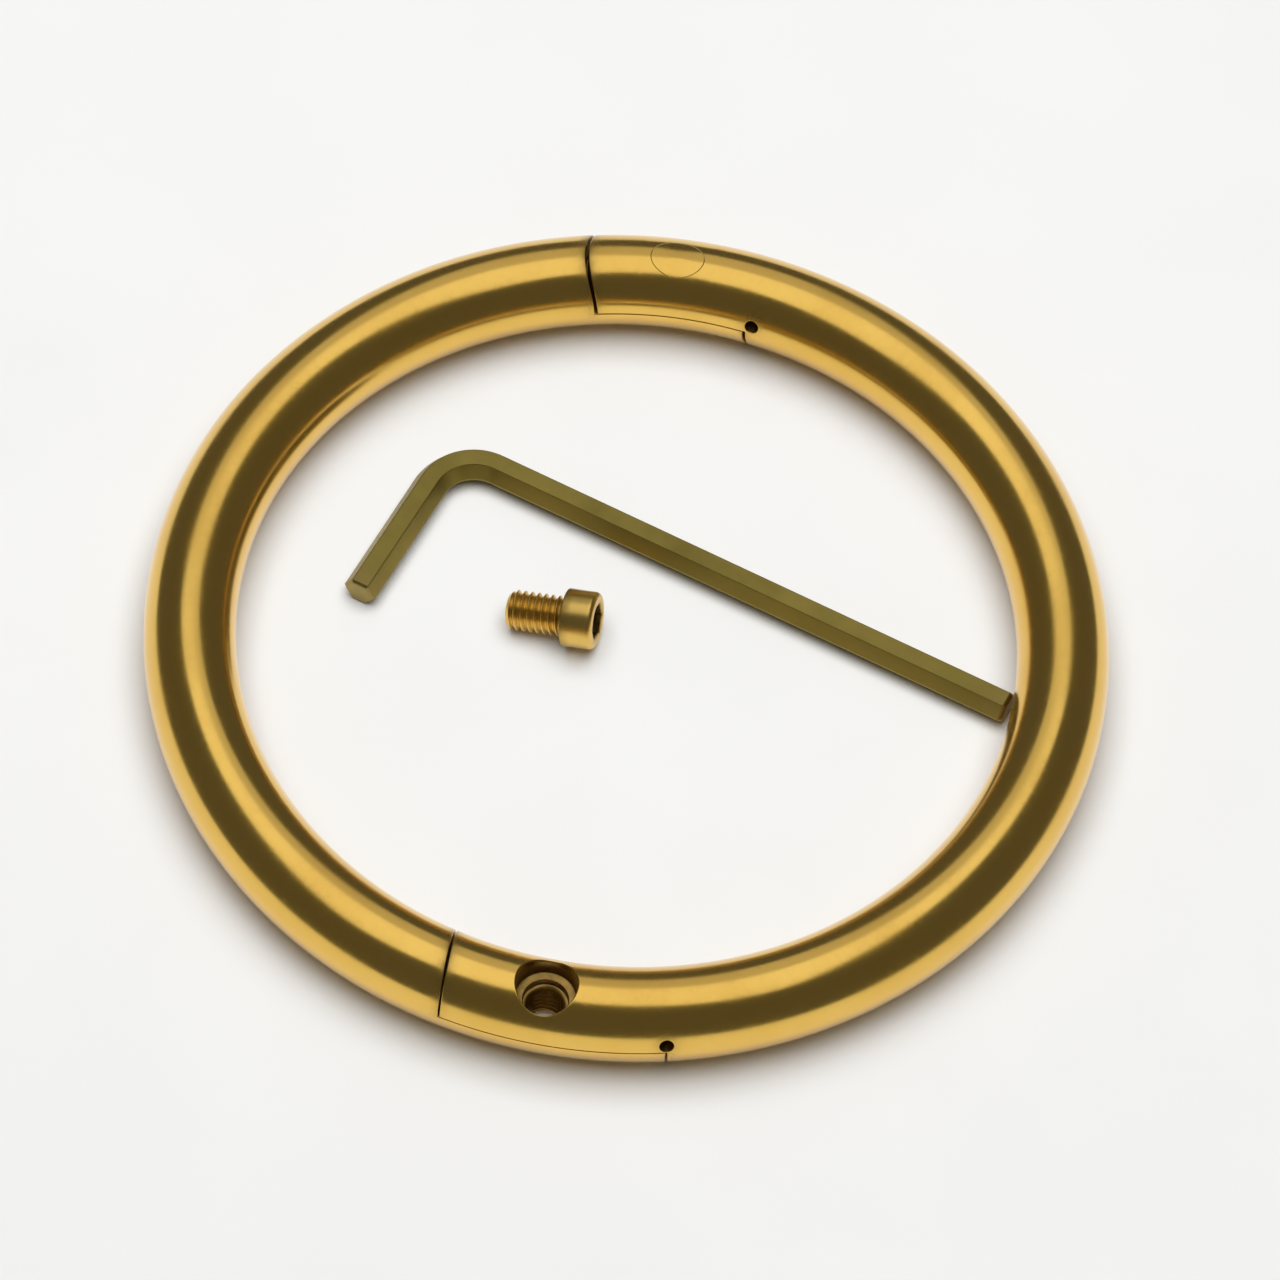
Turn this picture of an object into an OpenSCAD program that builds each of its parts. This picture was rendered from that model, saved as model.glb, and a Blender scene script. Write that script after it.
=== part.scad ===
// Hinged brass ring, closed by a reduced-head cap screw, with its hex key.
// Millimetres, +Z up. The ring lies flat on z = 0, its centre over the origin.

/* [Ring] */
// Inside diameter of the ring
ring_inside_d = 76; // [60:0.5:110]
// Thickness of the round bar
bar_d = 9; // [8:0.1:12]

/* [Lap joints] */
// Height of the plane that splits both lap joints
split_z = 4.9; // [4:0.1:6]
// Running clearance between the two laps
lap_gap = 0.05; // [0.02:0.01:0.2]
// Width of the seams at the closing joint
seam_gap = 0.16; // [0.05:0.01:0.5]
// Distance of the closing joint's upper seam from the screw hole
upper_seam_off = 9.6; // [8:0.1:12]
// Distance of the closing joint's lower seam from the screw hole
lower_seam_off = 12.16; // [9:0.01:13]
// Angle of the small blind hole beside the lower seam
stop_hole_deg = -79; // [-82:0.5:-76]
// Diameter of the small blind holes at the ends of the laps
stop_hole_d = 1.4; // [0.8:0.1:2]
// Depth of the small blind holes below the bar's surface
stop_hole_depth = 2.2; // [1:0.1:4]
// Height of the small blind holes
stop_hole_z = 5.8; // [5.7:0.01:6.5]

/* [Hinge] */
// Radius of the rounded lap ends about the rivet
knuckle_r = 8.9; // [6:0.1:10]
// Gap between a lap end and the shoulder it turns in
knuckle_gap = 0.3; // [0.15:0.05:0.6]
// Diameter of the rivet's shank
rivet_d = 3; // [2:0.1:4]
// Radial running clearance round the rivet in the upper lap
rivet_clearance = 0.05; // [0.02:0.01:0.1]
// Press of the rivet in the lower lap, on the radius
rivet_press = 0.01; // [0:0.005:0.02]
// Depth of the rivet's countersunk ends
rivet_sink = 1.2; // [0.6:0.1:1.6]

/* [Screw hole] */
// Angle of the screw hole
hole_deg = -94; // [-100:0.5:-88]
// Diameter of the counterbore for the screw head
counterbore_d = 5.9; // [5.8:0.05:6.5]
// Height of the seat under the screw head
seat_z = 5.75; // [5.5:0.05:6.2]
// Diameter of the clearance hole in the upper lap
clearance_d = 4.3; // [4.1:0.05:4.6]
// Diameter of the tapped hole in the lower lap, at the thread's crest
tapped_d = 3.3; // [3.2:0.05:3.4]

/* [Closing screw] */
// Diameter of the screw head
head_d = 5.7; // [5.5:0.05:5.8]
// Height of the screw head
head_h = 3.2; // [2.8:0.05:3.2]
// Bevel round the top of the head
head_bevel = 0.35; // [0.1:0.05:0.6]
// Outside diameter of the thread
thread_d = 4; // [3.9:0.05:4]
// Length below the head
shank_l = 5.75; // [4:0.05:5.75]
// Bevel round the tip of the thread
tip_bevel = 0.5; // [0.2:0.05:0.8]
// Depth of the hex socket
socket_depth = 1.9; // [1:0.1:2.2]
// Width across flats of the hex socket
socket_af = 3.06; // [3.02:0.01:3.1]
// Where the loose screw lies, the point under its head
screw_pos = [-6.24, 2.44];
// Direction from its head to its tip, in plan
screw_dir_deg = 172.6; // [0:0.1:360]

/* [Hex key] */
// Width across flats of the key
key_af = 3; // [2.9:0.01:3]
// Long arm, from the outside of the bend
key_long = 63; // [55:0.5:66]
// Short arm, from the outside of the bend
key_short = 21; // [18:0.5:24]
// Radius of the bend, at the middle of the key
key_bend_r = 5; // [3.5:0.1:8]
// Bevel on both tips
key_bevel = 0.3; // [0.1:0.05:0.5]
// Where the middle lines of the two arms cross
key_pos = [-19.6, 21.3];
// Direction of the long arm, in plan
key_dir_deg = -21.4; // [-40:0.1:0]

/* [Hidden] */
bar_r = bar_d / 2;
ring_r = ring_inside_d / 2 + bar_r;
rivet_r = rivet_d / 2;
socket_corner_r = socket_af / 2 / cos(30);
key_corner_r = key_af / 2 / cos(30);
lap_over_z = split_z + lap_gap / 2;
lap_under_z = split_z - lap_gap / 2;
below_z = -1;
above_z = bar_d + 1;
seam_half = seam_gap / 2;
tip_flat = shank_l - tip_bevel;
screw_tilt = atan((head_d - thread_d) / 2 / tip_flat);
screw_z = head_d / 2 * cos(screw_tilt);
key_long_mid = key_long - key_af / 2;
key_short_mid = key_short - key_af / 2;
brass = [0.80, 0.62, 0.30];
screw_brass = [0.60, 0.47, 0.20];
key_bronze = [0.36, 0.29, 0.13];

module bar_section() {
    translate([ring_r, bar_r]) circle(r = bar_r, $fn = 96);
}

module bar_arc(from_deg, to_deg) {
    rotate_extrude(angle = to_deg - from_deg, start = from_deg, $fn = 180) bar_section();
}

module wedge(from_deg, to_deg, from_z, to_z) {
    rotate_extrude(angle = to_deg - from_deg, start = from_deg, $fn = 180)
        translate([ring_r - bar_d, from_z]) square([bar_d * 2, to_z - from_z]);
}

module at_hinge() {
    translate([0, ring_r, 0]) children();
}

module at_screw_hole() {
    rotate([0, 0, hole_deg]) translate([ring_r, 0, 0]) children();
}

module beside_hole(from_y, to_y, from_z, to_z) {
    at_screw_hole() translate([-bar_d, from_y, from_z]) cube([bar_d * 2, to_y - from_y, to_z - from_z]);
}

module knuckle_disc(radius, from_z, to_z) {
    at_hinge() translate([0, 0, from_z]) cylinder(r = radius, h = to_z - from_z, $fn = 96);
}

module stop_hole_outer() {
    rotate([0, 0, stop_hole_deg])
        translate([ring_r + bar_r - stop_hole_depth, 0, stop_hole_z])
            rotate([0, 90, 0])
                cylinder(d = stop_hole_d, h = stop_hole_depth + 1, $fn = 32);
}

module stop_hole_inner() {
    rotate([0, 0, 90 - asin((knuckle_r + knuckle_gap / 2) / ring_r)])
        translate([ring_r - bar_r - 1, 0, stop_hole_z])
            rotate([0, 90, 0])
                cylinder(d = stop_hole_d, h = stop_hole_depth + 1, $fn = 32);
}

module rivet_profile(extra) {
    polygon([
        [0, -0.5],
        [rivet_r + extra + rivet_sink + 0.5, -0.5],
        [rivet_r + extra, rivet_sink],
        [rivet_r + extra, bar_d - rivet_sink],
        [rivet_r + extra + rivet_sink + 0.5, bar_d + 0.5],
        [0, bar_d + 0.5]
    ]);
}

module rivet_space(extra) {
    at_hinge() rotate_extrude($fn = 64) rivet_profile(extra);
}

module right_half() {
    color(brass) difference() {
        bar_arc(-112, 104);
        beside_hole(-20, seam_half - upper_seam_off, below_z, above_z);
        beside_hole(-20, lower_seam_off + seam_half, below_z, lap_over_z);
        wedge(90, 110, below_z, lap_over_z);
        knuckle_disc(knuckle_r + knuckle_gap, below_z, lap_over_z);
        difference() {
            wedge(90, 110, lap_over_z - 1, above_z);
            knuckle_disc(knuckle_r, below_z, above_z + 1);
        }
        rivet_space(rivet_clearance);
        at_screw_hole() translate([0, 0, seat_z]) cylinder(d = counterbore_d, h = bar_d, $fn = 64);
        at_screw_hole() cylinder(d = clearance_d, h = bar_d, $fn = 64);
        stop_hole_outer();
        stop_hole_inner();
    }
}

module left_half() {
    color(brass) difference() {
        bar_arc(76, 286);
        beside_hole(lower_seam_off - seam_half, 25, below_z, above_z);
        beside_hole(-upper_seam_off - seam_half, 25, lap_under_z, above_z);
        wedge(70, 90, lap_under_z, above_z);
        knuckle_disc(knuckle_r + knuckle_gap, lap_under_z, above_z);
        difference() {
            wedge(70, 90, below_z, lap_under_z + 1);
            knuckle_disc(knuckle_r, below_z - 1, above_z);
        }
        rivet_space(-rivet_press);
        at_screw_hole() translate([0, 0, below_z]) cylinder(d = tapped_d, h = bar_d, $fn = 64);
    }
}

module hinge_rivet() {
    color(brass) intersection() {
        bar_arc(80, 100);
        rivet_space(0);
    }
}

module closing_screw() {
    color(screw_brass)
        translate([screw_pos[0], screw_pos[1], screw_z])
            rotate([0, 0, screw_dir_deg])
                rotate([0, 90 + screw_tilt, 0])
                    difference() {
                        rotate_extrude($fn = 64) polygon([
                            [0, -head_h],
                            [head_d / 2 - head_bevel, -head_h],
                            [head_d / 2, head_bevel - head_h],
                            [head_d / 2, 0],
                            [thread_d / 2, 0],
                            [thread_d / 2, tip_flat],
                            [thread_d / 2 - tip_bevel, shank_l],
                            [0, shank_l]
                        ]);
                        translate([0, 0, -head_h - 1])
                            linear_extrude(socket_depth + 1) circle(r = socket_corner_r, $fn = 6);
                    }
}

module tip_bevel_space(length) {
    rotate([0, 90, 0]) rotate_extrude($fn = 64) polygon([
        [0, -1],
        [key_corner_r + 1, -1],
        [key_corner_r + 1, length - key_bevel - 1],
        [key_corner_r - key_bevel, length],
        [0, length]
    ]);
}

module key_arm(from_x, to_x) {
    intersection() {
        translate([from_x, 0, 0])
            rotate([90, 0, 90])
                linear_extrude(to_x - from_x) circle(r = key_corner_r, $fn = 6);
        tip_bevel_space(to_x);
    }
}

module hex_key() {
    color(key_bronze)
        translate([key_pos[0], key_pos[1], key_af / 2])
            rotate([0, 0, key_dir_deg])
                union() {
                    key_arm(key_bend_r, key_long_mid);
                    rotate([0, 0, -90]) key_arm(key_bend_r, key_short_mid);
                    translate([key_bend_r, -key_bend_r, 0])
                        rotate_extrude(angle = 90, start = 90, $fn = 96)
                            translate([key_bend_r, 0]) circle(r = key_corner_r, $fn = 6);
                }
}

right_half();
left_half();
hinge_rivet();
closing_screw();
hex_key();
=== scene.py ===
"""Hinged brass ring with its loose closing screw and hex key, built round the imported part."""

import logging
import math
from collections.abc import Callable, Sequence
from dataclasses import dataclass, field
from enum import Enum

import bmesh
import bpy
import numpy as np
from mathutils import Matrix, Vector, kdtree


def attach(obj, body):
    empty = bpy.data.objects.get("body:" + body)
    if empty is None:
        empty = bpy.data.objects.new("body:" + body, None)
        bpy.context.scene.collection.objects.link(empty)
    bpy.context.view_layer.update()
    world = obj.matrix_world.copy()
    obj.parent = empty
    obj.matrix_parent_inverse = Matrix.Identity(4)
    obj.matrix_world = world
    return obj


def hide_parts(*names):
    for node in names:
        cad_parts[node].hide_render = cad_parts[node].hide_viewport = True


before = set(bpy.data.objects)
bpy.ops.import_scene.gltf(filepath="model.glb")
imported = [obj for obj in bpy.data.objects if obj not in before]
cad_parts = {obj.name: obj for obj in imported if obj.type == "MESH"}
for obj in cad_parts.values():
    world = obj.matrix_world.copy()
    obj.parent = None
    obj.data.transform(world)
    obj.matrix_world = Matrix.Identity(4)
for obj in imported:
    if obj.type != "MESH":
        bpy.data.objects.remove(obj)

LOG = logging.getLogger("hinged_ring")
MM = 0.001
Point = tuple[float, float, float]
Socket = bpy.types.NodeSocket
Window = tuple[int, int, int, int]
Station = tuple[str, float, float, float]
MERGE = 1e-7
SLIVER = 1e-8
# Level above which a vertex's painted shade spreads onto the skin round it.
SHADE_SEED_LEVEL = 0.5
CLOUDS_PER_M = 90.0
SPECKS_PER_M = 1400.0
SCRATCHES_PER_M = 900.0
SCRATCH_HEIGHT = 0.00002
LACQUER_ROUGH = 0.12


class Slot(Enum):
    """The record's material slots."""

    RING = "ring_brass"
    RIVET = "rivet_brass"
    SCREW = "screw_brass"
    KEY = "key_bronze"


class Node(Enum):
    """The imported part's nodes that finer pieces stand for."""

    RIGHT = "right_half"
    LEFT = "left_half"
    RIVET = "hinge_rivet"
    SCREW = "closing_screw"
    KEY = "hex_key"


class Body(Enum):
    """The bodies that the pieces ride on."""

    RIGHT = "right"
    LEFT = "left"
    SCREW = "screw"
    KEY = "key"


# ---------------------------------------------------------------- shader and node helpers


class Shader:
    """A small builder for one material's node tree."""

    def __init__(self, name: str) -> None:
        """Start an empty material with a Principled shader.

        Args:
            name: The material's name.
        """
        self.material = bpy.data.materials.new(name)
        self.material.use_nodes = True
        self.tree = self.material.node_tree
        self.tree.nodes.clear()
        self.output = self.tree.nodes.new("ShaderNodeOutputMaterial")
        self.surface = self.tree.nodes.new("ShaderNodeBsdfPrincipled")
        self.link(self.surface.outputs["BSDF"], self.output.inputs["Surface"])
        self.coords = self.tree.nodes.new("ShaderNodeTexCoord").outputs["Object"]

    def link(self, source: Socket, target: Socket) -> None:
        """Join two sockets."""
        self.tree.links.new(source, target)

    def set(self, **values: object) -> None:
        """Set the Principled shader's own sockets, with underscores for spaces.

        Args:
            values: The sockets' names and values.
        """
        for key, value in values.items():
            self.surface.inputs[key.replace("_", " ")].default_value = value

    def noise(self, scale: float, detail: float, stretch: Point = (1, 1, 1), rough: float = 0.55) -> Socket:
        """A noise pattern on object coordinates.

        Args:
            scale: Noise scale, per metre.
            detail: Octaves.
            stretch: Factors on the coordinates' axes.
            rough: Weight of the finer octaves.

        Returns:
            The noise's value socket.
        """
        mapping = self.tree.nodes.new("ShaderNodeMapping")
        mapping.inputs["Scale"].default_value = stretch
        self.link(self.coords, mapping.inputs["Vector"])
        node = self.tree.nodes.new("ShaderNodeTexNoise")
        node.inputs["Scale"].default_value = scale
        node.inputs["Detail"].default_value = detail
        node.inputs["Roughness"].default_value = rough
        self.link(mapping.outputs["Vector"], node.inputs["Vector"])
        return node.outputs["Fac"]

    def attribute(self, name: str) -> Socket:
        """A float attribute of the mesh.

        Args:
            name: The attribute's name.

        Returns:
            Its value socket.
        """
        node = self.tree.nodes.new("ShaderNodeAttribute")
        node.attribute_name = name
        return node.outputs["Fac"]

    def remap(self, value: Socket, low: float, high: float, to_low: float, to_high: float) -> Socket:
        """The value carried from one range to another, clamped.

        Args:
            value: The socket to carry.
            low: Start of its own range.
            high: End of its own range.
            to_low: Start of the new range.
            to_high: End of the new range.

        Returns:
            The carried value's socket.
        """
        node = self.tree.nodes.new("ShaderNodeMapRange")
        for key, number in zip(("From Min", "From Max", "To Min", "To Max"), (low, high, to_low, to_high)):
            node.inputs[key].default_value = number
        self.link(value, node.inputs["Value"])
        return node.outputs["Result"]

    def mix(self, factor: Socket, first: object, second: object) -> Socket:
        """Two colours mixed by a factor.

        Args:
            factor: 0 for the first colour, 1 for the second.
            first: A colour or a socket.
            second: A colour or a socket.

        Returns:
            The mixed colour's socket.
        """
        node = self.tree.nodes.new("ShaderNodeMix")
        node.data_type = "RGBA"
        self.link(factor, node.inputs["Factor"])
        for key, colour in (("A", first), ("B", second)):
            socket = next(s for s in node.inputs if s.name == key and s.type == "RGBA")
            if isinstance(colour, Socket):
                self.link(colour, socket)
            else:
                socket.default_value = (*colour, 1.0)
        return next(s for s in node.outputs if s.type == "RGBA")

    def math(self, operation: str, first: object, second: object) -> Socket:
        """One Math node.

        Args:
            operation: The node's operation.
            first: A number or a socket.
            second: A number or a socket.

        Returns:
            The result's socket.
        """
        node = self.tree.nodes.new("ShaderNodeMath")
        node.operation = operation
        for socket, value in zip(node.inputs, (first, second)):
            if isinstance(value, Socket):
                self.link(value, socket)
            else:
                socket.default_value = value
        return node.outputs["Value"]

    def bump(self, height: Socket, strength: float, distance: float) -> None:
        """Bump from a height socket on the shader's normal.

        Args:
            height: The height's socket.
            strength: Weight of the bump.
            distance: Height of a full step, in metres.
        """
        node = self.tree.nodes.new("ShaderNodeBump")
        node.inputs["Strength"].default_value = strength
        node.inputs["Distance"].default_value = distance
        self.link(height, node.inputs["Height"])
        self.link(node.outputs["Normal"], self.surface.inputs["Normal"])


@dataclass(frozen=True)
class MetalFinish:
    """A bare metal with cloudy tone and hairline scratches, with painted shade in its seams and holes, and
    worn plating at the key's tips.

    Attributes:
        name: The material's name.
        colour: Base colour of the clean metal.
        warm: Colour of the slightly tarnished clouds.
        shade_and_wear: Colour where the soil attribute is full: near-black painted shade on the ring and
            screw, worn plating on the key.
        rough: Roughness of the polished and of the dullest clouds.
        shade_and_wear_rough: Roughness added where the soil attribute, which marks painted shade and worn
            plating, is full.
        scratch: Strength of the hairline scratches.
        scratch_axis: Factors that stretch the scratches along one axis.
        coat: Weight of the thin clear lacquer.
    """

    name: str
    colour: Point
    warm: Point
    shade_and_wear: Point
    rough: tuple[float, float]
    shade_and_wear_rough: float
    scratch: float
    scratch_axis: Point
    coat: float

    def make(self) -> bpy.types.Material:
        """Build the material.

        Returns:
            A material whose patterns lie on object coordinates.
        """
        shader = Shader(self.name)
        shader.set(Metallic=1.0, Coat_Weight=self.coat, Coat_Roughness=LACQUER_ROUGH)
        clouds = shader.noise(CLOUDS_PER_M, 4.0)
        specks = shader.noise(SPECKS_PER_M, 3.0)
        scratches = shader.noise(SCRATCHES_PER_M, 2.0, self.scratch_axis, 0.6)
        # The soil attribute pulls the colour towards the soil colour, speckled: painted shade in the ring's
        # and screw's seams, holes and socket, and worn plating at the key's tips.
        shade_and_wear = shader.attribute("shade_and_wear")
        tone = shader.mix(shader.remap(clouds, 0.42, 0.72, 0.0, 0.55), self.colour, self.warm)
        speckled_shade_and_wear = shader.math("MULTIPLY", shade_and_wear, shader.remap(specks, 0.3, 0.7, 0.55, 1.0))
        shader.link(shader.mix(speckled_shade_and_wear, tone, self.shade_and_wear), shader.surface.inputs["Base Color"])
        polish = shader.remap(clouds, 0.35, 0.75, *self.rough)
        fine = shader.math("ADD", polish, shader.remap(specks, 0.45, 0.8, 0.0, 0.05))
        dull = shader.math("MULTIPLY", shade_and_wear, self.shade_and_wear_rough)
        shader.link(shader.math("ADD", fine, dull), shader.surface.inputs["Roughness"])
        grain = shader.math("ADD", scratches, shader.math("MULTIPLY", specks, 0.2))
        shader.bump(grain, self.scratch, SCRATCH_HEIGHT)
        return shader.material


RING_BRASS = MetalFinish(
    name="polished_brass",
    colour=(0.82, 0.515, 0.095),
    warm=(0.75, 0.440, 0.062),
    # Near-black painted shade for the seams, bores and dimples.
    shade_and_wear=(0.16, 0.09, 0.022),
    rough=(0.16, 0.24),
    shade_and_wear_rough=0.3,
    scratch=0.12,
    scratch_axis=(1.0, 1.0, 0.2),
    coat=0.5,
)
SCREW_BRASS = MetalFinish(
    name="turned_brass",
    colour=(0.78, 0.52, 0.13),
    warm=(0.64, 0.41, 0.09),
    # Near-black painted shade for the hex socket and under the head.
    shade_and_wear=(0.10, 0.065, 0.018),
    rough=(0.28, 0.38),
    shade_and_wear_rough=0.25,
    scratch=0.35,
    scratch_axis=(1.0, 1.0, 1.0),
    coat=0.0,
)
KEY_BRONZE = MetalFinish(
    name="dark_bronze_plating",
    colour=(0.33, 0.255, 0.060),
    warm=(0.26, 0.195, 0.044),
    shade_and_wear=(0.36, 0.27, 0.09),
    rough=(0.34, 0.46),
    shade_and_wear_rough=0.0,
    scratch=0.4,
    scratch_axis=(0.15, 1.0, 1.0),
    coat=0.0,
)


# ---------------------------------------------------------------- mesh helpers


def helix(z: float, turn: float, pitch: float) -> float:
    """How far a right-hand thread stands at a height and an angle, from 0 at its root to 1 at its crest.

    Args:
        z: The height.
        turn: The angle, in radians.
        pitch: The thread's pitch.

    Returns:
        The share of the full depth.
    """
    wave = (z / pitch - turn / (2 * math.pi)) % 1.0
    return min(max((1 - abs(2 * wave - 1) - 0.12) / 0.76, 0.0), 1.0)


def weigh_normals(data: bpy.types.Mesh) -> None:
    """Give each vertex the mean normal of its faces by area, which keeps wide flats flat.

    Args:
        data: The mesh whose normals are set.
    """
    normals = np.zeros(len(data.polygons) * 3)
    areas = np.zeros(len(data.polygons))
    totals = np.zeros(len(data.polygons), dtype=int)
    corners = np.zeros(len(data.loops), dtype=int)
    data.polygons.foreach_get("normal", normals)
    data.polygons.foreach_get("area", areas)
    data.polygons.foreach_get("loop_total", totals)
    data.loops.foreach_get("vertex_index", corners)
    weighted = normals.reshape(-1, 3) * areas[:, None]
    summed = np.zeros((len(data.vertices), 3))
    np.add.at(summed, corners, np.repeat(weighted, totals, axis=0))
    lengths = np.linalg.norm(summed, axis=1, keepdims=True)
    data.normals_split_custom_set_from_vertices(summed / np.maximum(lengths, 1e-30))


@dataclass
class Skin:
    """Vertices and faces gathered in millimetres, with a painted shade value for each vertex."""

    points: list[Point] = field(default_factory=list)
    faces: list[tuple[int, ...]] = field(default_factory=list)
    painted_shade: list[float] = field(default_factory=list)

    def add(self, point: Sequence[float], shade_and_wear: float = 0.0) -> int:
        """Add a vertex.

        Args:
            point: Its place, in millimetres.
            shade_and_wear: Its painted shade, from 0 to 1.

        Returns:
            Its index.
        """
        self.points.append((float(point[0]), float(point[1]), float(point[2])))
        self.painted_shade.append(shade_and_wear)
        return len(self.points) - 1

    def strip(self, first: Sequence[int], second: Sequence[int], closed: bool = False) -> None:
        """Quads between two rows of the same length.

        Args:
            first: Vertices of the first row.
            second: Vertices of the second row.
            closed: True if the rows are rings.
        """
        count = len(first)
        for k in range(count if closed else count - 1):
            n = (k + 1) % count
            self.faces.append((first[k], first[n], second[n], second[k]))

    def fan(self, ring: Sequence[int], tip: int, closed: bool = True) -> None:
        """Triangles from a row to one point.

        Args:
            ring: Vertices of the row.
            tip: The point.
            closed: True if the row is a ring.
        """
        count = len(ring)
        for k in range(count if closed else count - 1):
            self.faces.append((ring[k], ring[(k + 1) % count], tip))

    def make(self, name: str, matrix: Matrix, spread: float) -> bpy.types.Object:
        """Turn the gathered faces into an object at the origin.

        Args:
            name: The object's name.
            matrix: Where the piece stands, in millimetres.
            spread: How far painted shade spreads from the most shaded vertices, in millimetres.

        Returns:
            A smooth-shaded mesh object with a per-vertex attribute of painted shade.
        """
        # The most shaded vertices pass painted shade to the others, fading with distance.
        shade_seeds = [k for k, s in enumerate(self.painted_shade) if s > SHADE_SEED_LEVEL]
        near = kdtree.KDTree(max(len(shade_seeds), 1))
        for k in shade_seeds:
            near.insert(self.points[k], k)
        near.balance()
        mesh = bmesh.new()
        layer = mesh.verts.layers.float.new("shade_and_wear")
        made = []
        for point, shade_and_wear in zip(self.points, self.painted_shade):
            vertex = mesh.verts.new(matrix @ Vector(point) * MM)
            if shade_seeds and shade_and_wear < SHADE_SEED_LEVEL:
                shade_and_wear = max(shade_and_wear, math.exp(-near.find(point)[2] / spread))
            vertex[layer] = shade_and_wear
            made.append(vertex)
        for corners in self.faces:
            ring = [made[k] for k in corners]
            if len(set(ring)) > 2:
                mesh.faces.new(ring)
        bmesh.ops.remove_doubles(mesh, verts=mesh.verts, dist=MERGE)
        bmesh.ops.dissolve_degenerate(mesh, edges=mesh.edges, dist=SLIVER)
        loose = [v for v in mesh.verts if not v.link_faces]
        bmesh.ops.delete(mesh, geom=loose, context="VERTS")
        bmesh.ops.recalc_face_normals(mesh, faces=mesh.faces)
        for part in mesh.faces:
            part.smooth = True
        data = bpy.data.meshes.new(name)
        mesh.to_mesh(data)
        open_edges = sum(1 for e in mesh.edges if len(e.link_faces) != 2)
        mesh.free()
        weigh_normals(data)
        LOG.info("%s: %d faces, %d open edges", name, len(data.polygons), open_edges)
        piece = bpy.data.objects.new(name, data)
        bpy.context.scene.collection.objects.link(piece)
        return piece


def finish_piece(
    piece: bpy.types.Object, finish: bpy.types.Material, body: Body, node: Node
) -> None:
    """Dress a piece and hand it to its body.

    Args:
        piece: The finished mesh object.
        finish: Its material.
        body: The body it rides on.
        node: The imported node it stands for.
    """
    piece.data.materials.clear()
    piece.data.materials.append(finish)
    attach(piece, body.value)
    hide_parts(node.value)
    LOG.info("%s rides on %s", piece.name, body.value)


# ---------------------------------------------------------------- the ring


@dataclass(frozen=True)
class Bar:
    """The round bar that the ring is bent from, and its two joints, in millimetres and degrees.

    Attributes:
        ring: Radius of the ring's middle line.
        bar: Radius of the bar.
        knuckle: Radius of the rounded lap ends about the rivet.
        knuckle_gap: Gap between a lap end and the shoulder it turns in.
        seam_half: Half the width of the closing joint's seams.
        edge: Rounding of the laps' edges.
        over_flat: Height of the upper lap's flat.
        under_flat: Height of the lower lap's flat.
        hole: Angle of the screw hole.
        upper_seam: Distance of the closing joint's upper seam from the screw hole.
        lower_seam: Distance of the closing joint's lower seam from the screw hole.
        rivet: Radius of the rivet's shank.
        rivet_sink: Depth of the rivet's countersunk ends.
        stop_hole: Angle of the small blind hole at the closing joint.
        stop_height: Height of the small blind holes.
    """

    ring: float = 42.5
    bar: float = 4.5
    knuckle: float = 8.9
    knuckle_gap: float = 0.3
    seam_half: float = 0.08
    edge: float = 0.12
    over_flat: float = 4.925
    under_flat: float = 4.875
    hole: float = -94.0
    upper_seam: float = 9.6
    lower_seam: float = 12.16
    rivet: float = 1.5
    rivet_sink: float = 1.2
    stop_hole: float = -79.0
    stop_height: float = 5.8

    def half_angle(self, rho: float, reach: float) -> float:
        """Angle in degrees from the rivet to where radius rho is at that reach from it."""
        return math.degrees(math.acos((rho**2 + self.ring**2 - reach**2) / (2 * rho * self.ring)))

    def place(self, theta: float, rho: float, z: float) -> Point:
        """A point from its angle in degrees, radius and height."""
        turn = math.radians(theta)
        return (rho * math.cos(turn), rho * math.sin(turn), z)

    def crown(self, x: float, y: float) -> float:
        """Height of the bar's upper surface over a plan point."""
        off = math.hypot(x, y) - self.ring
        return self.bar + math.sqrt(max(self.bar**2 - off**2, 0.0))


@dataclass(frozen=True)
class Thread:
    """An inside thread cut in a bore's wall, in millimetres.

    Attributes:
        radius: Radius at its crest.
        top: Height at which it starts.
        bottom: Height at which it ends.
        pitch: Its pitch.
        depth: How far its root lies behind its crest.
        fade: Length over which it fades in and out.
        rows: Rings of vertices for each pitch.
    """

    radius: float = 1.65
    top: float = 8.2
    bottom: float = 4.45
    pitch: float = 0.7
    depth: float = 0.35
    fade: float = 0.35
    rows: int = 8


@dataclass(frozen=True)
class Bore:
    """A round hole square to the plane of the ring, from the bar's surface to the lap's flat.

    Attributes:
        theta: Its angle on the ring, in degrees.
        mouth: Radius of its first wall at a height.
        wall: (radius, height, painted shade) steps from the first wall's foot down to the flat.
        lip: Rounding of its edge at the bar's surface.
        thread: A thread cut in it before the last step, if it has one.
    """

    theta: float
    mouth: Callable[[float], float]
    wall: tuple[Point, ...]
    lip: float = 0.12
    thread: Thread | None = None


@dataclass(frozen=True)
class Dimple:
    """A small blind hole square to the bar's side.

    Attributes:
        theta: Its angle on the ring, in degrees.
        height: Its height.
        outer: True on the ring's outer side, False on its inner side.
        radius: Its radius.
        depth: Its depth below the bar's surface.
        edge: Rounding of its edge.
        spread: Half the length of the patch of skin that it replaces.
    """

    theta: float
    height: float
    outer: bool
    radius: float = 0.7
    depth: float = 2.2
    edge: float = 0.05
    spread: float = 1.15


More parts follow.
